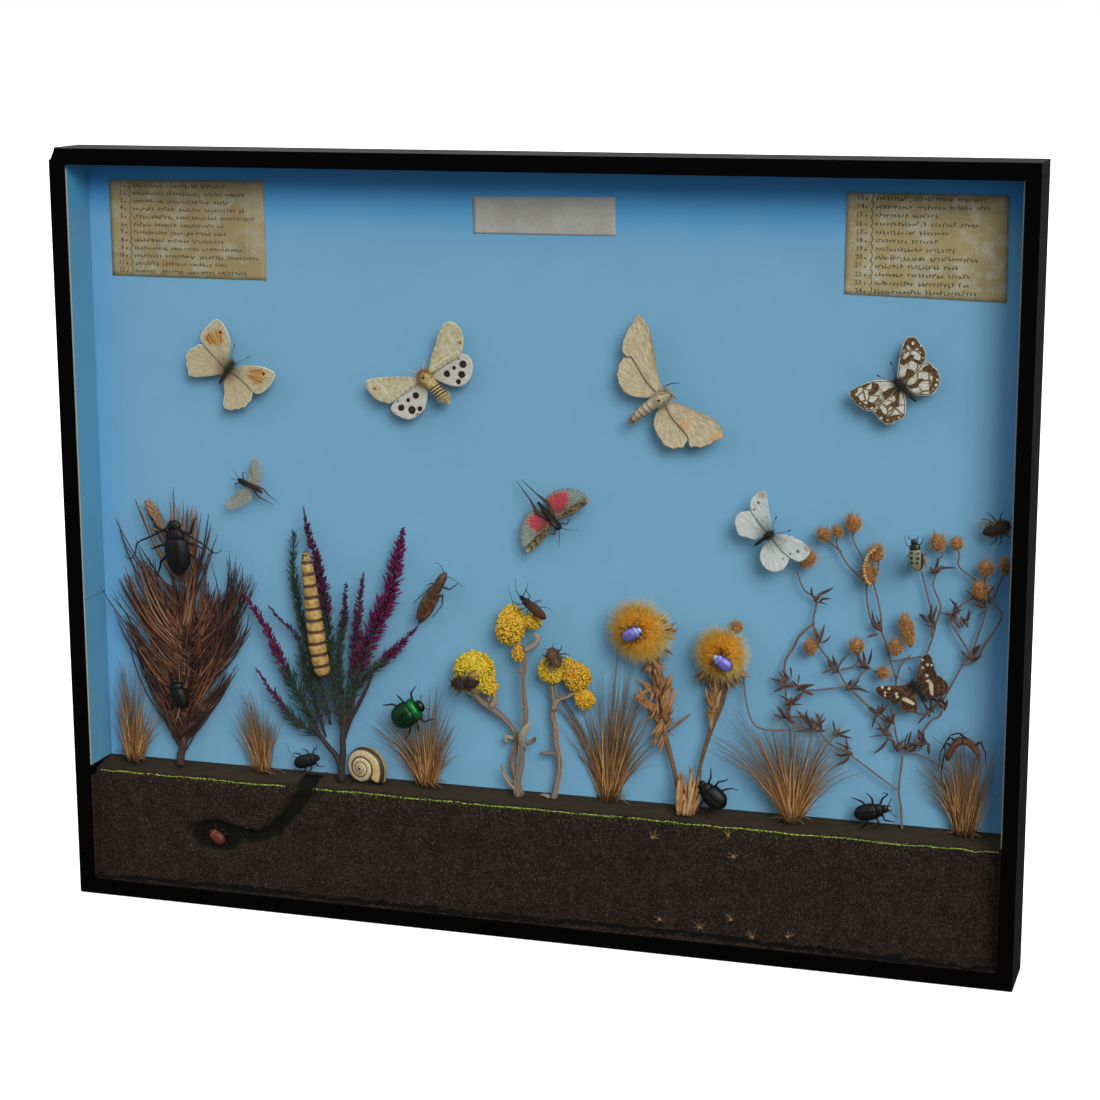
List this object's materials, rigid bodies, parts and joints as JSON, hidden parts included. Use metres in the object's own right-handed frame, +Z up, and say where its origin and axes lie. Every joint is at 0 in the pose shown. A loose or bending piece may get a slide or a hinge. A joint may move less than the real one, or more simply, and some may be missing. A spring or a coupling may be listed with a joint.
{
  "type": "insect collection drawer",
  "caption": "Shallow black glass-fronted case with a blue back, holding pinned butterflies, beetles and grasshoppers over dried plants and a bank of dark soil.",
  "frame": {"origin": "centre of the case's foot, where it stands", "axes": "+Z up, the glass faces -Y, +X to the viewer's right"},
  "size_m": [0.5, 0.033, 0.398],
  "materials": {
    "black_tape": "black paper tape, faint sheen",
    "black_board": "black-papered board, satin",
    "glass": "clear polished",
    "blue_paper": "sky-blue matte paper",
    "soil": "dark brown coarse matte",
    "old_paper": "beige mottled matte",
    "needles": "dry rusty brown",
    "heather": "dry purple and green",
    "everlasting": "dry golden, woolly stems",
    "thistle": "dry golden bristles",
    "dry_grass": "dry tan blades",
    "dry_twigs": "dry brown twigs and heads",
    "bark": "ragged tan bark",
    "cream_scales": "cream powdery matte",
    "white_scales": "white powdery matte",
    "patterned_scales": "brown and cream powdery matte",
    "dry_insect": "brown dry, slight sheen",
    "red_wing": "red and clear dry membrane",
    "black_shell": "black glossy wing cases",
    "green_shell": "metallic green glossy",
    "blue_shell": "metallic violet-blue",
    "orange_shell": "orange-brown glossy",
    "grub_skin": "tan, satin",
    "snail_shell": "cream satin",
    "fur": "dark short hair"
  },
  "bodies": {
    "root": {"top_board": "black_board", "bottom_board": "black_board", "left_board": "black_board", "right_board": "black_board", "back_board": "black_board", "glass_pane": "glass", "binding_top": "black_tape", "binding_bottom": "black_tape", "binding_left": "black_tape", "binding_right": "black_tape", "backing_sheet": "blue_paper", "left_lining": "blue_paper", "right_lining": "blue_paper", "top_lining": "blue_paper", "soil_bank": "soil", "label_left": "old_paper", "label_right": "old_paper", "label_title": "old_paper", "needle_branch": "needles", "heather_sprig": "heather", "everlasting_left": "everlasting", "everlasting_middle": "everlasting", "everlasting_right": "everlasting", "thistle_left": "thistle", "thistle_right": "thistle", "broken_stump": "bark", "grass_tuft_1": "dry_grass", "grass_tuft_2": "dry_grass", "grass_tuft_3": "dry_grass", "grass_tuft_4": "dry_grass", "grass_tuft_5": "dry_grass", "grass_tuft_6": "dry_grass", "clover_main": "dry_twigs", "clover_side": "dry_twigs", "brown_butterfly": "cream_scales", "tiger_moth": "cream_scales", "hawk_moth": "cream_scales", "marbled_white": "patterned_scales", "small_white": "white_scales", "map_butterfly": "patterned_scales", "pale_grasshopper": "dry_insect", "red_grasshopper": "red_wing", "brown_grasshopper": "dry_insect", "longhorn_beetle": "black_shell", "branch_beetle": "black_shell", "green_chafer": "green_shell", "slim_beetle": "dry_insect", "blue_beetle_left": "blue_shell", "blue_beetle_right": "blue_shell", "black_beetle_left": "black_shell", "black_beetle_right": "black_shell", "dark_bug": "black_shell", "bee_beetle": "orange_shell", "bumblebee": "fur", "bee_left": "fur", "bee_right": "fur", "burrow_beetle": "orange_shell", "hanging_cricket": "dry_insect", "moth_grub": "grub_skin", "snail_shell": "snail_shell"}
  },
  "joints": []
}
